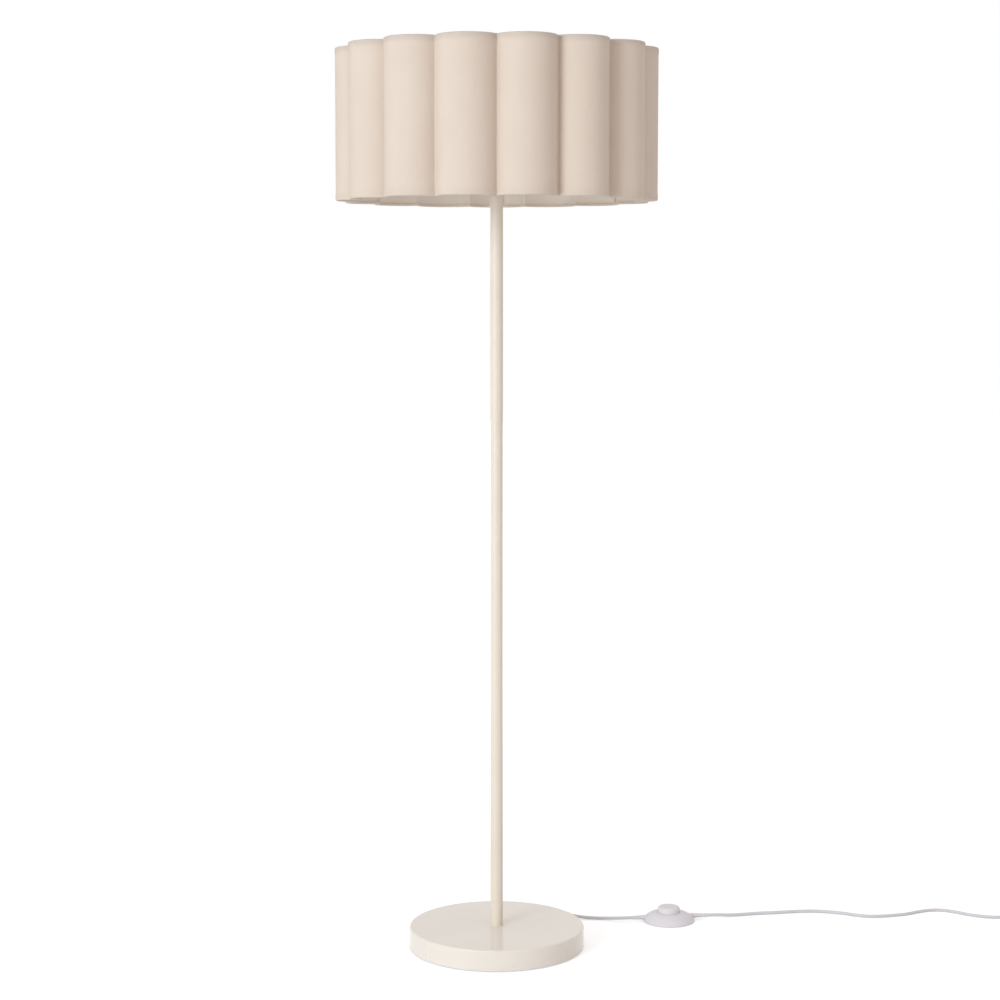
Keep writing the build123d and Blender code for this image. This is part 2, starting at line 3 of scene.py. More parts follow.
import bmesh
import bpy
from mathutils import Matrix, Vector


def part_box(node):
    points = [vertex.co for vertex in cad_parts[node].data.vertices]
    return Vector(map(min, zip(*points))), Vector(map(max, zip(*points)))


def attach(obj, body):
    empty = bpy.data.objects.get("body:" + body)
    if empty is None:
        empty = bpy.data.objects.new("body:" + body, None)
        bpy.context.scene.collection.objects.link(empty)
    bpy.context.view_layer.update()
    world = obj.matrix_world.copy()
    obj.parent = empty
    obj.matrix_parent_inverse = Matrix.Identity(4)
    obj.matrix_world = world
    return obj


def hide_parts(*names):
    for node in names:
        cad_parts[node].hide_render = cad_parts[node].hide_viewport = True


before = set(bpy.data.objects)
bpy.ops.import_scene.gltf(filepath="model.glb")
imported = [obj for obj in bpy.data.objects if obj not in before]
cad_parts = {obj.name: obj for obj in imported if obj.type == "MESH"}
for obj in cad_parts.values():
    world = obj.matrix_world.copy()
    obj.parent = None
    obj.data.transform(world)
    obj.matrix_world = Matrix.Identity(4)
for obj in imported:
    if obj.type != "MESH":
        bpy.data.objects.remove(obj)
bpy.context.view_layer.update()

# Painted metal: the base cover, the three pole tubes and the collar under the shade. They are steel,
# powder coated in a warm white with a satin gloss and a very fine skin. Sleeves inside join the tubes.


class Wire:
    """One output of a node in a material. Operators add Math nodes, and node() adds any other kind."""

    def __init__(self, tree, socket=None):
        self.tree = tree
        self.socket = socket

    def node(self, kind, settings, inputs, output=0):
        made = self.tree.nodes.new("ShaderNode" + kind)
        for name, value in settings.items():
            setattr(made, name, value)
        for name, value in inputs.items():
            if isinstance(value, Wire):
                self.tree.links.new(value.socket, made.inputs[name])
            elif isinstance(value, tuple) and made.inputs[name].type == "RGBA":
                made.inputs[name].default_value = (*value, 1)
            else:
                made.inputs[name].default_value = value
        return Wire(self.tree, made.outputs[output] if made.outputs else None)

    def math(self, operation, *values):
        return self.node("Math", {"operation": operation}, dict(enumerate(values)))

    def __add__(self, other):
        return self.math("ADD", self, other)

    def __sub__(self, other):
        return self.math("SUBTRACT", self, other)

    def __rsub__(self, other):
        return self.math("SUBTRACT", other, self)

    def __mul__(self, other):
        return self.math("MULTIPLY", self, other)

    def __truediv__(self, other):
        return self.math("DIVIDE", self, other)

    def __gt__(self, other):
        return self.math("GREATER_THAN", self, other)

    __radd__ = __add__
    __rmul__ = __mul__

    def at_least(self, other):
        return self.math("MAXIMUM", self, other)

    def at_most(self, other):
        return self.math("MINIMUM", self, other)

    def sine(self):
        return self.math("SINE", self)

    def unsigned(self):
        return self.math("ABSOLUTE", self)

    def mix(self, first, second):
        """The first colour where this value is 0, and the second where it is 1."""
        return self.node("Mix", {"data_type": "RGBA"}, {0: self, 6: first, 7: second}, 2)

    def scaled(self, x, y, z):
        """This place, stretched by a factor along each axis."""
        return self.node("VectorMath", {"operation": "MULTIPLY"}, {0: self, 1: (x, y, z)})

    def specks(self, scale, detail=2.0, roughness=0.5):
        """Noise from 0 to 1, where scale is the number of specks in a metre."""
        return self.node(
            "TexNoise", {}, {"Vector": self, "Scale": scale, "Detail": detail, "Roughness": roughness}
        )

    def axis(self, name):
        return self.node("SeparateXYZ", {}, {0: self}, name)


def srgb(red, green, blue):
    """A colour read as 0 to 255 values, as the light that it stands for."""
    return tuple(
        value / 12.92 if value <= 0.04045 else ((value + 0.055) / 1.055) ** 2.4
        for value in (red / 255, green / 255, blue / 255)
    )


def new_material(name):
    """An empty material, and a point's place in metres as the start of its nodes."""
    material = bpy.data.materials.new(name)
    material.use_nodes = True
    material.node_tree.nodes.clear()
    return material, Wire(material.node_tree).node("TexCoord", {}, {}, "Object")


def shade_with(place, colour, roughness, relief=None, depth=0.0001, **fixed):
    """The material's shader. relief from 0 to 1 is a bump of that depth in metres."""
    inputs = {"Base Color": colour, "Roughness": roughness}
    inputs.update({name.replace("_", " "): value for name, value in fixed.items()})
    if relief is not None:
        bump = {"Height": relief, "Distance": depth, "Strength": 1.0}
        inputs["Normal"] = place.node("Bump", {}, bump)
    shader = place.node("BsdfPrincipled", {}, inputs)
    place.node("OutputMaterial", {}, {"Surface": shader})


def dress(material, *nodes):
    """Gives a material to the CAD model's own pieces."""
    for node in nodes:
        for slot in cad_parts[node].material_slots:
            slot.material = material


coat_roughness = 0.42
coat_gloss_at_edge = 0.4
coat_relief = 0.00001


def painted_metal(name, light, dark):
    """Powder coat, which looks glossier the flatter it is seen."""
    material, place = new_material(name)
    cloudy = place.specks(9, 3)
    skin = place.specks(2600, 2) * 0.6 + place.specks(700, 2) * 0.4
    colour = (cloudy * 1.6 - 0.3).mix(dark, light)
    edge_on = place.node("LayerWeight", {}, {"Blend": 0.5}, "Facing")
    roughness = coat_roughness - edge_on * coat_gloss_at_edge + 0.06 * place.specks(60, 4)
    shade_with(place, colour, roughness.at_least(0.1), skin, coat_relief, IOR=1.5)
    return material


base_paint = painted_metal("base_paint", srgb(235, 227, 218), srgb(228, 219, 210))
dress(base_paint, "base_cover")
# Painted shade: the pole and collar get a darker, yellower copy of the base's coat, for the dimmer light up
# the lamp.
shaded_pole_paint = painted_metal("shaded_pole_paint", srgb(228, 218, 203), srgb(221, 210, 194))
dress(shaded_pole_paint, "pole_lower", "pole_middle", "pole_upper", "pole_collar")


# Base, inside and below: a cast-iron weight, a zinc-plated bottom plate with four screws, and the nuts,
# tubes and bushes that clamp the pole. They are turned or stamped, and seen only from below or with the
# lamp apart.
def plated_steel(name, light, dark):
    """Bright metal with brush marks and a faint spangle."""
    material, place = new_material(name)
    brushed = place.scaled(1, 1, 30).specks(260, 3)
    spangle = place.node("TexVoronoi", {}, {"Vector": place, "Scale": 240.0}, "Color").axis("X")
    colour = (spangle * 0.5 + brushed * 0.5).mix(dark, light)
    shade_with(place, colour, 0.28 + 0.18 * brushed, brushed, 0.00003, Metallic=1.0)
    return material


zinc = plated_steel("zinc_plate", srgb(205, 207, 210), srgb(170, 173, 178))
dress(
    zinc, "base_plate", "base_screws", "clamp_washer", "clamp_nut", "base_nipple", "saddle_screws",
    "pole_joiner_lower", "pole_joiner_upper", "pole_foot_bush", "pole_top_bush", "holder_nipple",
    "holder_lock_nut", "switch_screws",
)

iron, place = new_material("cast_iron")
grain = place.specks(900, 6, 0.7)
shade_with(place, place.specks(40, 3).mix(srgb(52, 52, 55), srgb(74, 73, 74)), 0.72, grain, 0.0004)
dress(iron, "base_weight")


# Felt: a disc of pressed grey-white wool that spares the floor. It is cut to shape with a hole over each
# screw head, and glued under the bottom plate.
def ring_of_points(radius, height, count, centre=(0, 0)):
    """Points on a level circle, anticlockwise from +X."""
    points = []
    for n in range(count):
        angle = math.tau * n / count
        x, y = centre[0] + radius * math.cos(angle), centre[1] + radius * math.sin(angle)
        points.append(Vector((x, y, height)))
    return points


def new_piece(name, mesh, material, body):
    """Puts a finished bmesh in the scene as a piece of the lamp."""
    bmesh.ops.recalc_face_normals(mesh, faces=mesh.faces)
    data = bpy.data.meshes.new(name)
    mesh.to_mesh(data)
    mesh.free()
    piece = bpy.data.objects.new(name, data)
    bpy.context.scene.collection.objects.link(piece)
    data.materials.append(material)
    data.polygons.foreach_set("use_smooth", [True] * len(data.polygons))
    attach(piece, body)
    return piece


def skin_between(mesh, rings, closed=False):
    """Faces between neighbouring rings of vertices. closed joins the last ring to the first."""
    pairs = list(zip(rings, rings[1:])) + ([(rings[-1], rings[0])] if closed else [])
    for lower, upper in pairs:
        for n in range(len(lower)):
            after = (n + 1) % len(lower)
            mesh.faces.new((lower[n], lower[after], upper[after], upper[n]))


def finish_edges(piece, degrees):
    """Keeps an edge crisp where its faces meet at more than this angle."""
    piece.data.set_sharp_from_angle(angle=math.radians(degrees))


felt_low, felt_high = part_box("base_felt")
felt_radius = felt_high.x
felt_bevel = 0.0004
felt_sides = 120
hole_radius = 0.0055
hole_reach = 0.095
hole_angles = [95, 185, 275, 5]
hole_sides = 24


def felt_disc():
    mesh = bmesh.new()
    outline = [
        (felt_radius - felt_bevel, felt_low.z), (felt_radius, felt_low.z + felt_bevel),
        (felt_radius, felt_high.z - felt_bevel), (felt_radius - felt_bevel, felt_high.z),
    ]
    rings = [[mesh.verts.new(p) for p in ring_of_points(r, z, felt_sides)] for r, z in outline]
    skin_between(mesh, rings)
    holes = []
    for angle in hole_angles:
        way = math.radians(angle)
        middle = (hole_reach * math.cos(way), hole_reach * math.sin(way))
        hole = [
            [mesh.verts.new(p) for p in ring_of_points(hole_radius, z, hole_sides, middle)]
            for z in (felt_low.z, felt_high.z)
        ]
        skin_between(mesh, hole)
        holes.append(hole)
    for level, rim in ((0, rings[0]), (1, rings[-1])):
        edges = []
        for loop in [rim] + [hole[level] for hole in holes]:
            edges += [mesh.edges.get((loop[n], loop[(n + 1) % len(loop)])) for n in range(len(loop))]
        bmesh.ops.triangle_fill(mesh, use_beauty=True, use_dissolve=False, edges=edges)
    return mesh


felt, place = new_material("grey_felt")
fibres = place.specks(1900, 5, 0.75)
colour = (fibres * 1.4 - 0.2).mix(srgb(176, 173, 168), srgb(214, 211, 206))
shade_with(place, colour, 0.95, fibres, 0.0005, Sheen_Weight=0.3)
felt_pad = new_piece("felt_pad", felt_disc(), felt, "stand")
finish_edges(felt_pad, 40)
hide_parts("base_felt")


# Cable block under the weight: white plastic, moulded in one piece with a groove that grips the cable, and
# held to the weight by two screws.
def moulded_plastic(name, light, dark, roughness=0.36, grain=1500, depth=0.00003):
    material, place = new_material(name)
    texture = place.specks(grain, 3)
    colour = place.specks(25, 3).mix(dark, light)
    shade_with(place, colour, roughness + 0.12 * place.specks(120, 3), texture, depth)
    return material


white_plastic = moulded_plastic("white_plastic", srgb(240, 238, 236), srgb(232, 229, 228))
dress(white_plastic, "cable_saddle")


# Lampholder: a white plastic cap, and a threaded skirt whose flange carries the shade under the ring nut.
# They screw together round a glazed ceramic core with a brass screw shell and a sprung brass contact.
dress(white_plastic, "holder_cap", "holder_skirt", "ring_nut")

glaze, place = new_material("glazed_ceramic")
glaze_colour = place.specks(30, 3).mix(srgb(228, 226, 219), srgb(240, 238, 233))
shade_with(place, glaze_colour, 0.16, place.specks(400), 0.00005)
dress(glaze, "holder_insert")

brass = plated_steel("brass", srgb(222, 186, 112), srgb(190, 150, 82))
dress(brass, "centre_contact")


# Screw shell and bulb cap: sheet brass in the lampholder and nickel-plated brass on the bulb. Both have a
# rolled thread of the same pitch, so that the bulb screws in and out.
thread_pitch = 0.00363
thread_depth = 0.0008


def rolled_thread(radius, low, high, thickness, steps=48, rows_per_turn=10):
    """A thin threaded tube with its crests at this radius, and a second wall this far outside the first."""
    mesh = bmesh.new()
    rows = round((high - low) / thread_pitch * rows_per_turn)
    shells = []
    for wall in (0, thickness):
        rings = []
        for row in range(rows + 1):
            height = low + (high - low) * row / rows
            fade = min(1, (height - low) / thread_pitch, (high - height) / thread_pitch)
            ring = []
            for step in range(steps):
                turn = step / steps
                wave = 0.5 + 0.5 * math.cos(math.tau * (height / thread_pitch - turn))
                reach = radius - thread_depth * wave * fade + wall
                angle = math.tau * turn
                ring.append(mesh.verts.new((reach * math.cos(angle), reach * math.sin(angle), height)))
            rings.append(ring)
        shells.append(rings)
    first, second = shells
    skin_between(mesh, first)
    skin_between(mesh, second)
    skin_between(mesh, [first[0], second[0]])
    skin_between(mesh, [first[-1], second[-1]])
    return mesh


shell_low, shell_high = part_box("thread_shell")
shell_thickness = 0.0003
shell_mesh = rolled_thread(shell_high.x - shell_thickness, shell_low.z, shell_high.z, shell_thickness)
threaded_shell = new_piece("threaded_shell", shell_mesh, brass, "stand")
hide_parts("thread_shell")

nickel = plated_steel("nickel_plate", srgb(214, 212, 208), srgb(186, 183, 178))
cap_low, cap_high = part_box("bulb_cap")
cap_mesh = rolled_thread(cap_high.x, cap_low.z, cap_high.z, -shell_thickness)
threaded_cap = new_piece("threaded_cap", cap_mesh, nickel, "bulb")
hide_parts("bulb_cap")


# Bulb: an opal plastic globe on a white plastic housing, with a black glass insulator and a drop of solder
# as the contact at its foot. It screws in and stands in line with the pole.
solder, place = new_material("solder")
dull = 0.35 + 0.2 * place.specks(900, 3)
shade_with(place, (0.55, 0.55, 0.56), dull, place.specks(1200), 0.0001, Metallic=1.0)
dress(solder, "bulb_contact")

black_glass, place = new_material("black_insulator")
shade_with(place, place.specks(200).mix((0.012, 0.012, 0.014), (0.02, 0.02, 0.022)), 0.2)
dress(black_glass, "bulb_insulator")
dress(white_plastic, "bulb_housing")

opal, place = new_material("opal_globe")
milk = place.specks(14, 2).mix(srgb(240, 239, 236), srgb(247, 246, 243))
shade_with(place, milk, 0.3 + 0.08 * place.specks(80, 3), Subsurface_Weight=0.3, Subsurface_Scale=0.01)
dress(opal, "bulb_globe")


# Shade: fifteen upright scallops of off-white linen on a stiff liner, wrapped round a wire at the top and
# the bottom, and bound there with a folded hem tape. The seams lie in the valleys between the scallops.
scallop_count = 15
first_valley = -90
shade_low, shade_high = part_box("hem_bottom")[0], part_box("hem_top")[1]
crown_radius = 0.2505
valley_radius = 0.221
seam_rounding = 0.0006
lobe_steps = 22
seam_steps = 8

half_step = math.pi / scallop_count
half_chord = valley_radius * math.sin(half_step)
bulge = crown_radius - valley_radius * math.cos(half_step)
lobe_radius = (half_chord ** 2 + bulge ** 2) / (2 * bulge)
lobe_centre = crown_radius - lobe_radius
seam_reach = lobe_centre * math.cos(half_step) + math.sqrt(
    (lobe_radius + seam_rounding) ** 2 - (lobe_centre * math.sin(half_step)) ** 2
)
lobe_span = math.atan2(seam_reach * math.sin(half_step), seam_reach * math.cos(half_step) - lobe_centre)


def facing(angle):
    """The level direction at this angle from +X."""
    return Vector((math.cos(angle), math.sin(angle), 0))


def scallop_points():
    """Around the shade: each arc's centre, outward direction and radius."""
    points = []
    for number in range(scallop_count):
        crown = math.radians(first_valley) + half_step * (2 * number + 1)
        for step in range(lobe_steps):
            turn = crown - lobe_span + 2 * lobe_span * step / lobe_steps
            points.append((facing(crown) * lobe_centre, facing(turn), lobe_radius))
        leave = crown + lobe_span
        arrive = crown + 2 * half_step - lobe_span
        for step in range(seam_steps):
            turn = leave + (arrive - leave) * step / seam_steps
            points.append((facing(crown + half_step) * seam_reach, facing(turn), -seam_rounding))
    return points


outline = scallop_points()


def on_outline(point, inset):
    """The place this far inside the shade's outermost line."""
    centre, outward, radius = point
    return centre + outward * (radius - inset)


around = [0.0]
for here, there in zip(outline, outline[1:] + outline[:1]):
    around.append(around[-1] + (on_outline(there, 0) - on_outline(here, 0)).length)


def wrapped_band(profile):
    """A band round the shade with this closed profile of (inset, height) points. Its map has metres along
    the girth and along the profile."""
    mesh = bmesh.new()
    rings = []
    for inset, height in profile:
        lift = Vector((0, 0, height))
        rings.append([mesh.verts.new(on_outline(point, inset) + lift) for point in outline])
    skin_between(mesh, rings, closed=True)
    spread = [0.0]
    for (inset, height), (next_inset, next_height) in zip(profile, profile[1:] + profile[:1]):
        spread.append(spread[-1] + math.hypot(next_inset - inset, next_height - height))
    cloth_map = mesh.loops.layers.uv.new("cloth")
    mesh.verts.index_update()
    columns = len(outline)
    for face in mesh.faces:
        held = [vert.index for vert in face.verts]
        last_column = max(index % columns for index in held) == columns - 1
        last_row = max(index // columns for index in held) == len(profile) - 1
        for loop in face.loops:
            row, column = divmod(loop.vert.index, columns)
            if last_column and column == 0:
                column = columns
            if last_row and row == 0:
                row = len(profile)
            loop[cloth_map].uv = (around[column], spread[row])
    return mesh


def linen(name, light, dark, thread=0.00085, painted_shade=None):
    """Plain weave: each thread passes over and under the ones that cross it, and thickens at random. The
    last argument, if given, is a height and a colour: the cloth fades to that colour, as painted shade, up
    to that height in its map."""
    material, place = new_material(name)
    flat = place.node("UVMap", {"uv_map": "cloth"}, {})
    along, up = flat.axis("X"), flat.axis("Y")
    weft = (up * (math.pi / thread)).sine()
    warp = (along * (math.pi / thread)).sine()
    over = (weft * warp) > 0
    weave = over * weft.unsigned() + (1 - over) * warp.unsigned()
    slubs = flat.scaled(30, 900, 1).specks(1, 3) * 0.5 + flat.scaled(900, 30, 1).specks(1, 3) * 0.5
    clouds = place.specks(12, 3)
    tone = slubs * 0.7 + clouds * 0.5 + weave * 0.12 - 0.2
    colour = tone.at_least(0.0).at_most(1.0).mix(dark, light)
    # Painted shade: the colour darkens along the map up to the given height.
    if painted_shade:
        shaded_height, shade_colour = painted_shade
        colour = (up / shaded_height).at_most(1.0).mix(colour, shade_colour)
    relief = weave * 0.6 + slubs * 0.4
    shade_with(place, colour, 0.9, relief, 0.00022)
    return material


cloth = linen("shade_linen", srgb(230, 215, 202), srgb(217, 200, 185))
cloth_outer, cloth_inner = 0.00045, 0.00105
cloth_drop = 0.0022
cloth_rows = 24
cloth_height = shade_high.z - shade_low.z - 2 * cloth_drop
heights = [shade_low.z + cloth_drop + cloth_height * row / cloth_rows for row in range(cloth_rows + 1)]
cloth_profile = [(cloth_outer, height) for height in heights]
cloth_profile += [(cloth_inner, height) for height in reversed(heights)]
shade_cloth = new_piece("shade_cloth", wrapped_band(cloth_profile), cloth, "shade")
finish_edges(shade_cloth, 60)
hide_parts("shade_fabric")

liner_material, place = new_material("shade_liner")
liner_colour = place.specks(18, 3).mix(srgb(226, 215, 203), srgb(232, 222, 211))
shade_with(place, liner_colour, 0.6 + 0.1 * place.specks(90, 3), place.specks(500, 3), 0.00006)
liner_outer, liner_inner = 0.0011, 0.0016
liner_drop = 0.0012
liner_low, liner_high = shade_low.z + liner_drop, shade_high.z - liner_drop
liner_profile = [
    (liner_outer, liner_low), (liner_outer, liner_high), (liner_inner, liner_high), (liner_inner, liner_low),
]
stiff_liner = new_piece("stiff_liner", wrapped_band(liner_profile), liner_material, "shade")
finish_edges(stiff_liner, 40)
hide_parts("shade_liner")


# Shade wires: 2.8 mm steel wire, bent to the scallops, welded into a ring at the top and at the bottom,
# and powder coated. They lie inside the hem and hold the fabric to its shape.
wire_coat = painted_metal("white_wire", srgb(226, 217, 206), srgb(218, 208, 196))
wire_radius = 0.0014
wire_inset = 0.00305
wire_rise = 0.00245
wire_sides = 10
for name, edge, way in (("wire_bottom", shade_low.z, 1), ("wire_top", shade_high.z, -1)):
    round_section = []
    for n in range(wire_sides):
        angle = math.tau * n / wire_sides
        height = edge + way * wire_rise + wire_radius * math.sin(angle)
        round_section.append((wire_inset + wire_radius * math.cos(angle), height))
    wire = new_piece(name, wrapped_band(round_section), wire_coat, "shade")
    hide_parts("shade_" + name)


# Hem tapes: a strip of closer-woven linen, folded over each edge of the shade and rolled round its wire.
# It is glued down 10 mm high outside and 3 mm inside, and pressed thin along the edge that shows.
tape_thickness = 0.0004
tape_height = 0.010
tape_pressed = 0.003
tape_end = 0.00006
tape_roll = 0.00245
tape_roll_steps = 12
tape_inner_drop = 0.0032
tape_thread = 0.0006
tape_light, tape_dark = srgb(229, 214, 201), srgb(216, 199, 184)
# Painted shade: the top tape darkens from its outer edge up over its roll and inside, to tone down its lit
# top.
tape_painted_shade = (tape_height, srgb(206, 194, 184))
tape_cloth = {
    "hem_tape_bottom": linen("hem_linen", tape_light, tape_dark, tape_thread),
    "hem_tape_top": linen("shaded_hem_linen", tape_light, tape_dark, tape_thread, tape_painted_shade),
}


def folded_tape(edge, way):
    """The tape's outline in section, from its lower edge outside, round the wire, to its edge inside."""
    outside = [
        (tape_thickness - tape_end, tape_height), (0.0, tape_height - tape_pressed),
        (0.0, tape_roll + tape_end),
    ]
    inside = [(tape_thickness, rise) for inset, rise in outside]
    for n in range(tape_roll_steps + 1):
        angle = math.pi * n / tape_roll_steps
        for side, radius in ((outside, tape_roll), (inside, tape_roll - tape_thickness)):
            side.append((tape_roll - radius * math.cos(angle), tape_roll - radius * math.sin(angle)))
    outside.append((2 * tape_roll, tape_inner_drop))
    inside.append((2 * tape_roll - tape_thickness, tape_inner_drop))
    return [(inset, edge + way * rise) for inset, rise in outside + inside[::-1]]


for name, edge, way in (("hem_tape_bottom", shade_low.z, 1), ("hem_tape_top", shade_high.z, -1)):
    hem = new_piece(name, wrapped_band(folded_tape(edge, way)), tape_cloth[name], "shade")
    finish_edges(hem, 60)
    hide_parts(name.replace("tape_", ""))


# Spider: a flat steel ring that sits on the lampholder's flange, with three wire arms welded to it and to
# the bottom wire. It is powder coated in one go with the wires.
dress(wire_coat, "spider_ring", "spider_arms")


# Foot switch: a round shell of cool white plastic with a domed top, screwed shut from below with a base
# plate and a rubber pad. The large button rides on a spring over the switch block, and brass terminals
# inside join the two leads.
cool_white = moulded_plastic("switch_plastic", srgb(225, 221, 226), srgb(217, 213, 218), 0.4)
dress(cool_white, "switch_cover", "switch_button", "switch_base")
rubber, place = new_material("rubber_pad")
rubber_colour = place.specks(60).mix(srgb(60, 60, 62), srgb(74, 74, 76))
shade_with(place, rubber_colour, 0.8, place.specks(1200, 3), 0.0001)
dress(rubber, "switch_pad")
dress(white_plastic, "switch_block")
dress(brass, "switch_terminals")
dress(zinc, "switch_spring")


# Strain reliefs: tapering sleeves of soft white plastic, moulded with ribs that let them bend with the
# cord. One snaps into the base's wall, and one sits in each end of the foot switch.
soft_plastic = moulded_plastic("soft_plastic", srgb(219, 215, 220), srgb(210, 206, 211), 0.5)
sleeve_sides = 32
tip_length, tip_rounding = 0.0005, 0.0003


def turned_sleeve(name, start, direction, outline, node):
    """A sleeve round a line, from (distance, radius) points."""
    mesh = bmesh.new()
    turn = Vector((0, 0, 1)).rotation_difference(direction).to_matrix()
    rings = []
    for distance, radius in outline:
        circle = ring_of_points(radius, distance, sleeve_sides)
        rings.append([mesh.verts.new(start + turn @ point) for point in circle])
    skin_between(mesh, rings)
    mesh.faces.new(rings[0][::-1])
    mesh.faces.new(rings[-1])
    sleeve = new_piece(name, mesh, soft_plastic, "stand")
    finish_edges(sleeve, 50)
    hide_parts(node)
    return sleeve


def ribbed_taper(start, end, root, tip, ribs, groove):
    """A taper with grooves of this depth between its ribs, and a rounded tip."""
    points = [(start, root)]
    pitch = (end - start) / (ribs + 1)
    for rib in range(ribs):
        middle = start + pitch * (rib + 0.9)
        for share, depth in ((-0.26, 0), (-0.16, groove), (0.16, groove), (0.26, 0)):
            at = middle + share * pitch
            radius = root + (tip - root) * (at - start) / (end - start)
            points.append((at, radius - depth))
    points += [(end - tip_length, tip), (end, tip - tip_rounding)]
    return points


exit_way = facing(math.radians(50))
gland_reach, gland_height = 0.1401, 0.011
gland_base = exit_way * gland_reach + Vector((0, 0, gland_height))
gland_length = 0.024
gland_outline = [
    (-0.0042, 0.0060), (-0.0022, 0.0060), (-0.0021, 0.0044), (-0.00005, 0.0044), (0.0, 0.0058),
    (0.0003, 0.0060), (0.0017, 0.0060), (0.0020, 0.0057),
]
gland_outline += ribbed_taper(0.0022, gland_length, 0.0044, 0.0031, 5, 0.0006)
gland = turned_sleeve("cord_gland_sleeve", gland_base, exit_way, gland_outline, "cord_gland")

switch_middle = Vector((0.2876, 0.1395, 0.007))
switch_way = facing(math.radians(7))
relief_root, relief_tip = 0.0335, 0.063
relief_outline = [(relief_root, 0.0039), (0.0432, 0.0039)]
relief_outline += ribbed_taper(0.0434, relief_tip, 0.0038, 0.0031, 4, 0.0006)
for node, way in (("switch_relief_lamp", -1), ("switch_relief_plug", 1)):
    relief = turned_sleeve(node + "_sleeve", switch_middle, switch_way * way, relief_outline, node)


# Mains cord: a round two-core lead with a 5.2 mm jacket of soft white plastic. It leaves the base at the
# right rear, drops to the floor, runs to the foot switch and on to the right in loose curves. What is over
# lies in a neat coil with a tie, and ends in the plug.
cord_radius = 0.0026
clear_of_floor = 0.00005
jacket = moulded_plastic("cord_jacket", srgb(214, 209, 215), srgb(205, 200, 206), 0.46, 900, 0.00006)


def soft_line(name, points, replaces):
    """A round cord on one smooth line that these points, in millimetres, pull towards them."""
    curve = bpy.data.curves.new(name, "CURVE")
    curve.dimensions = "3D"
    curve.resolution_u = 6
    curve.bevel_depth = cord_radius
    curve.bevel_resolution = 5
    curve.use_fill_caps = True
    line = curve.splines.new("NURBS")
    line.points.add(len(points) - 1)
    for spot, (x, y, z) in zip(line.points, points):
        spot.co = (x / 1000, y / 1000, z / 1000, 1)
    line.order_u = 3
    line.use_endpoint_u = True
    piece = bpy.data.objects.new(name, curve)
    bpy.context.scene.collection.objects.link(piece)
    curve.materials.append(jacket)
    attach(piece, "stand")
    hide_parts(*replaces)
    return piece


low = (cord_radius + clear_of_floor) * 1000
gland_tip = (gland_base + exit_way * gland_length) * 1000
after_gland = gland_tip + exit_way * 12
switch_in = (switch_middle - switch_way * relief_tip) * 1000
switch_out = (switch_middle + switch_way * relief_tip) * 1000
lamp_run = [
    gland_tip, after_gland, (124, 142.4, 8.4), (136, 145.8, 5), (152, 146.4, 3), (171, 144.4, low),
    (190, 138, 4.4), switch_in - switch_way * 17, switch_in,
]
lamp_cord = soft_line("lamp_cord", lamp_run, ["cord_lamp"])

floor_run = [
    switch_out, switch_out + switch_way * 20, (390, 157.5, 3.9), (412, 165.5, 2.8), (440, 173.5, low),
    (470, 177, low), (504, 184, low), (532, 187.5, low), (562, 182, low), (588, 172.5, low),
    (608, 159.5, low), (632, 154, low), (660, 158.5, low), (692, 168, low), (716, 184.5, low),
    (744, 195, low), (768, 187.5, low), (788, 170.5, low), (808, 157, low), (831, 149.5, low),
    (853, 148, 3.5), (874, 148, 3.5),
]

# The coil is wound clockwise in two columns and three layers. Each change of column or layer starts a
# little earlier than the one before it, so that the turns pass each other.
coil_x, coil_y = 896, 114.8
outer_turn, inner_turn = 33.2, 28
layers = (3.5, 8.7, 13.9)
change = 0.14
points_per_turn = 20
coil_turns = 5.25
winding = [
    (0, outer_turn, layers[0]), (0.72, outer_turn, layers[0]),
    (0.72 + change, inner_turn, layers[0]), (1.58, inner_turn, layers[0]),
    (1.58 + change, inner_turn, layers[1]), (2.44, inner_turn, layers[1]),
    (2.44 + change, outer_turn, layers[1]), (3.30, outer_turn, layers[1]),
    (3.30 + change, inner_turn, layers[2]), (4.16, inner_turn, layers[2]),
    (4.16 + change, outer_turn, layers[2]), (coil_turns, outer_turn, layers[2]),
]


def eased(turn):
    """The winding's radius and height after this many turns."""
    for (start, radius, height), (end, next_radius, next_height) in zip(winding, winding[1:]):
        if turn <= end:
            share = (turn - start) / (end - start)
            share = share * share * (3 - 2 * share)
            return radius + (next_radius - radius) * share, height + (next_height - height) * share
    return winding[-1][1:]


coil_run = []
half_gap = math.pi / points_per_turn
for n in range(round(points_per_turn * coil_turns)):
    turn = (n + 0.5) / points_per_turn
    radius, height = eased(turn)
    reach = radius / math.cos(half_gap)
    angle = math.pi / 2 - math.tau * turn
    coil_run.append((coil_x + reach * math.cos(angle), coil_y + reach * math.sin(angle), height))
tangent = outer_turn * math.tan(half_gap)
plug_tip = Vector((coil_x + outer_turn, 42, 6.9))
floor_run += [(coil_x - tangent, coil_y + outer_turn, layers[0])] + coil_run
floor_run += [
    (coil_x + outer_turn, coil_y - tangent, layers[2]), (coil_x + outer_turn, coil_y - 22, layers[2]),
    (929.2, 79.8, 13.9), (930.7, 65.8, 11.5), plug_tip + Vector((0, 12, 0)), plug_tip,
]
plug_cord = soft_line("plug_cord", floor_run, ["cord_floor", "cord_coil", "cord_tail"])


# Coil tie: a short strap of woven nylon with hooks on one side and loops on the other. It is closed by
# hand round all the turns, on the coil's front left.
strap_thickness, strap_corner = 0.7, 2.4
strap_play = 0.15
strap_middle, strap_half_span = 225, 9
strap_rounding = 0.35
strap_steps, corner_steps = 8, 4


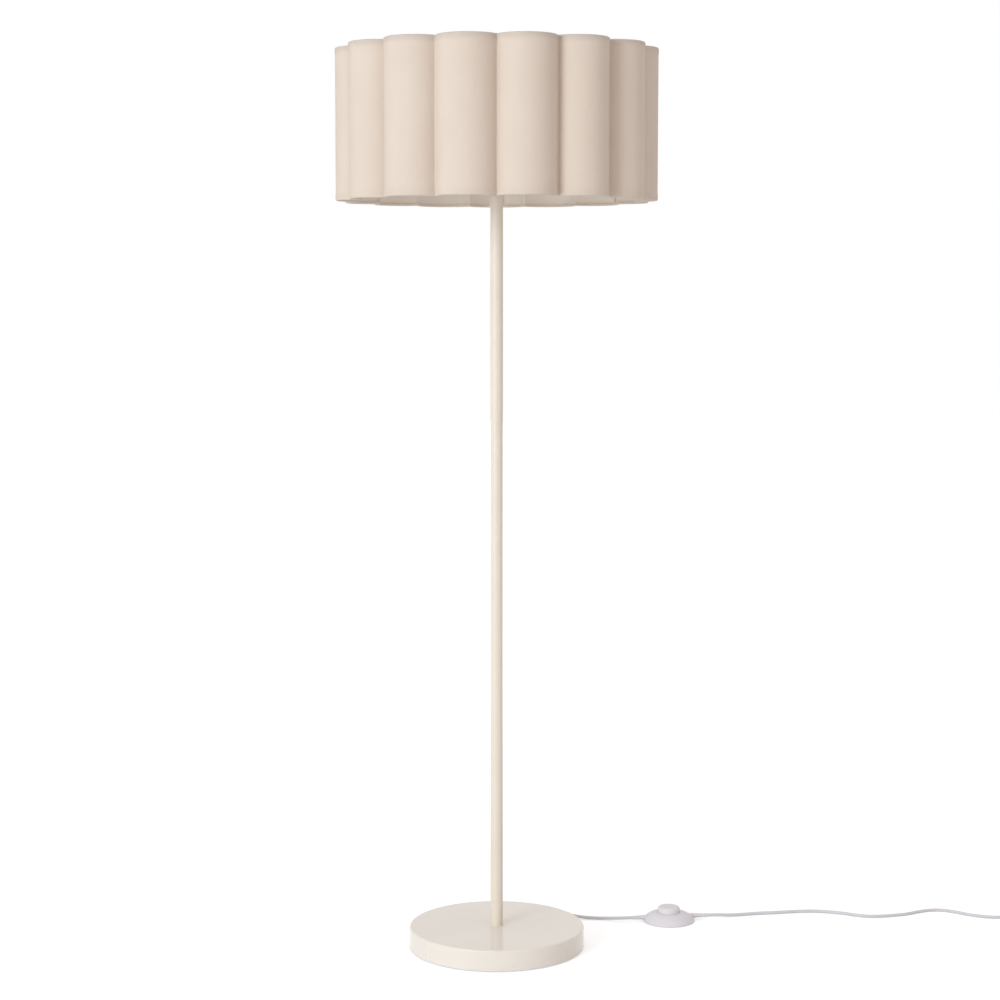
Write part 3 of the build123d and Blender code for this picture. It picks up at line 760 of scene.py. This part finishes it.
def strap_round_coil():
    """The strap, worked out in millimetres from the coil's middle."""
    mesh = bmesh.new()
    cord_and_play = cord_radius * 1000 + strap_play
    near = inner_turn - cord_and_play + strap_corner
    far = outer_turn + cord_and_play - strap_corner
    bottom = strap_thickness + clear_of_floor * 1000 + strap_corner
    top = layers[2] + cord_and_play - strap_corner
    loop = []
    for reach, height, start in ((far, top, 0), (near, top, 90), (near, bottom, 180), (far, bottom, 270)):
        for n in range(corner_steps + 1):
            loop.append((reach, height, math.radians(start + 90 * n / corner_steps)))
    outer_rings, inner_rings = [], []
    for step in range(strap_steps + 1):
        angle = math.radians(strap_middle + strap_half_span * (2 * step / strap_steps - 1))
        rounding = strap_rounding if step in (0, strap_steps) else 0
        for rings, radius in (
            (outer_rings, strap_corner + strap_thickness - rounding), (inner_rings, strap_corner + rounding),
        ):
            ring = []
            for middle_reach, middle_height, way in loop:
                reach = middle_reach + radius * math.cos(way)
                height = middle_height + radius * math.sin(way)
                x, y = coil_x + reach * math.cos(angle), coil_y + reach * math.sin(angle)
                ring.append(mesh.verts.new((x / 1000, y / 1000, height / 1000)))
            rings.append(ring)
    skin_between(mesh, outer_rings)
    skin_between(mesh, inner_rings)
    for end in (0, -1):
        skin_between(mesh, [outer_rings[end], inner_rings[end]])
    return mesh


strap_fabric, place = new_material("strap")
loops = place.specks(1700, 4, 0.7)
shade_with(place, loops.mix(srgb(196, 194, 197), srgb(232, 230, 232)), 0.9, loops, 0.0003, Sheen_Weight=0.3)
coil_strap = new_piece("coil_strap", strap_round_coil(), strap_fabric, "stand")
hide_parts("coil_tie")


# Plug: a flat two-pin plug of soft white plastic, wider at the front, with a ribbed relief behind it. It
# is moulded onto the cord round the pins, and lies flat on the floor.
plug_length = 58
plug_corner_steps = 6


def plug_section(distance, width, thickness, corner):
    """The plug's outline across the cord at this distance from the cord's end, with rounded corners."""
    points = []
    for across, up, start in ((1, 1, 0), (-1, 1, 90), (-1, -1, 180), (1, -1, 270)):
        for n in range(plug_corner_steps + 1):
            angle = math.radians(start + 90 * n / plug_corner_steps)
            points.append(Vector((
                across * (width / 2 - corner) + corner * math.cos(angle), -distance,
                up * (thickness / 2 - corner) + corner * math.sin(angle),
            )))
    return points


def moulded_plug():
    """Sections in millimetres, from the end of the relief to the plug's face."""
    mesh = bmesh.new()
    tip = plug_tip / 1000
    rings = []
    for sizes in (
        (22, 11.4, 9.6, 3), (22.4, 12.6, 10.6, 3.2), (23, 13, 11, 3.2), (26, 15.5, 11.8, 3.4),
        (30, 24, 13, 3.4), (33.5, 32, 13.5, 3.2), (36, 35.1, 13.7, 3), (38, 35.3, 13.7, 3),
        (46, 34.6, 13.4, 3), (54, 35.1, 13.6, 3), (57, 35.3, 13.7, 3), (57.6, 35.0, 13.4, 2.9),
        (plug_length, 34.0, 12.4, 2.6),
    ):
        section = plug_section(*[size / 1000 for size in sizes])
        rings.append([mesh.verts.new(tip + point) for point in section])
    skin_between(mesh, rings)
    mesh.faces.new(rings[0][::-1])
    mesh.faces.new(rings[-1])
    return mesh


plug_body = new_piece("moulded_plug", moulded_plug(), soft_plastic, "stand")
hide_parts("plug_body")
relief_length = 0.022
plug_taper = ribbed_taper(0, 0.021, 0.005, 0.0032, 5, 0.0007)
plug_relief_outline = [(0, 0.0029), (0.0005, 0.0031)]
plug_relief_outline += [(relief_length - distance, radius) for distance, radius in reversed(plug_taper)]
plug_relief = turned_sleeve(
    "plug_relief_sleeve", plug_tip / 1000, Vector((0, -1, 0)), plug_relief_outline, "plug_relief"
)


# Plug pins: two pins of nickel-plated brass, held in the plug's moulding. The half next to the plug's face
# has a sleeve of the same plastic, and the other half is bare.
sleeve_length = 10
sleeve_end = (plug_tip.y - plug_length - sleeve_length) / 1000
pins, place = new_material("sleeved_pins")
bare = sleeve_end - place.axis("Y") > 0
wear = place.specks(900, 3)
pin_colour = bare.mix(srgb(219, 215, 220), wear.mix(srgb(186, 183, 178), srgb(214, 212, 208)))
shade_with(place, pin_colour, 0.3 + 0.15 * wear, wear, 0.00002, Metallic=bare)
dress(pins, "plug_pins")


# Floor, light and camera: a pale floor that turns white where no shadow falls, a large soft lamp at the
# left front, a weaker one at the right, and the camera at the height of a person's chest. From below the
# floor can't be seen, so that the base's underside shows.
floor_reach, floor_drop = 14, 0.0002
glow_start, glow_spread = 0.5, 2
glow_near, glow_rise = 0.38, 0.6
mesh = bmesh.new()
corners = [(-1, -1), (1, -1), (1, 1), (-1, 1)]
mesh.faces.new([mesh.verts.new((x * floor_reach, y * floor_reach, -floor_drop)) for x, y in corners])
floor_data = bpy.data.meshes.new("floor")
mesh.to_mesh(floor_data)
mesh.free()
floor = bpy.data.objects.new("floor", floor_data)
bpy.context.scene.collection.objects.link(floor)


def seen_by(start, *kinds):
    """1 for rays of these kinds, such as the camera's own."""
    seen = start.node("LightPath", {}, {}, "Is Camera Ray")
    for kind in kinds:
        seen = seen.at_least(start.node("LightPath", {}, {}, "Is " + kind + " Ray"))
    return seen


floor_finish, place = new_material("pale_floor")
floor_colour = place.specks(3).mix((0.82, 0.84, 0.85), (0.84, 0.86, 0.87))
lit = place.node("BsdfDiffuse", {}, {"Color": floor_colour})
from_lamp = place.node("VectorMath", {"operation": "LENGTH"}, {0: place}, "Value")
far = ((from_lamp - glow_start) / glow_spread).at_least(0.0).at_most(1.0)
strength = seen_by(place, "Glossy") * (far * glow_rise + glow_near)
glow = place.node("Emission", {}, {"Color": (1.0, 1.0, 1.0), "Strength": strength})
together = place.node("AddShader", {}, {0: lit, 1: glow})
from_below = place.node("NewGeometry", {}, {}, "Backfacing")
clear = place.node("BsdfTransparent", {}, {})
open_below = place.node("MixShader", {}, {0: from_below, 1: together, 2: clear})
place.node("OutputMaterial", {}, {"Surface": open_below})
floor_data.materials.append(floor_finish)

scene = bpy.context.scene
scene.view_settings.view_transform = "Standard"
horizon_colour, horizon_strength, sky_rise = (0.98, 0.87, 0.80), 0.455, 0.44
world = bpy.data.worlds.new("studio")
scene.world = world
world.use_nodes = True
world.node_tree.nodes.clear()
start = Wire(world.node_tree)
seen = seen_by(start, "Glossy", "Transmission")
height = start.node("TexCoord", {}, {}, "Generated").axis("Z").at_least(0.0)
tint = height.mix(horizon_colour, (1.0, 1.0, 1.0))
glow = height * sky_rise + horizon_strength
sky_colour, sky_strength = seen.mix(tint, (1.0, 1.0, 1.0)), seen * (1 - glow) + glow
sky = start.node("Background", {}, {"Color": sky_colour, "Strength": sky_strength})
start.node("OutputWorld", {}, {"Surface": sky})


def soft_lamp(name, place, aim, size, power, colour):
    lamp = bpy.data.lights.new(name, "AREA")
    lamp.color = colour
    lamp.shape = "DISK"
    lamp.size = size
    lamp.energy = power
    holder = bpy.data.objects.new(name, lamp)
    holder.location = place
    holder.rotation_euler = (Vector(aim) - Vector(place)).to_track_quat("-Z", "Y").to_euler()
    scene.collection.objects.link(holder)


soft_lamp("key", place=(-4.5, -5.9, 1.95), aim=(0, 0, 0.9), size=3.4, power=292, colour=(0.88, 0.96, 1.0))
soft_lamp("fill", place=(3.0, -2.4, 1.6), aim=(0, 0, 0.8), size=2.6, power=6, colour=(1.0, 0.88, 0.8))

camera_tilt = 5.46
camera = bpy.data.objects.new("camera", bpy.data.cameras.new("camera"))
camera.data.lens = 78.65
camera.data.sensor_width = 36
camera.data.shift_x = 0.0033
camera.location = (0, -3.432, 1.048)
camera.rotation_euler = (math.radians(90 - camera_tilt), 0, 0)
scene.collection.objects.link(camera)
scene.camera = camera
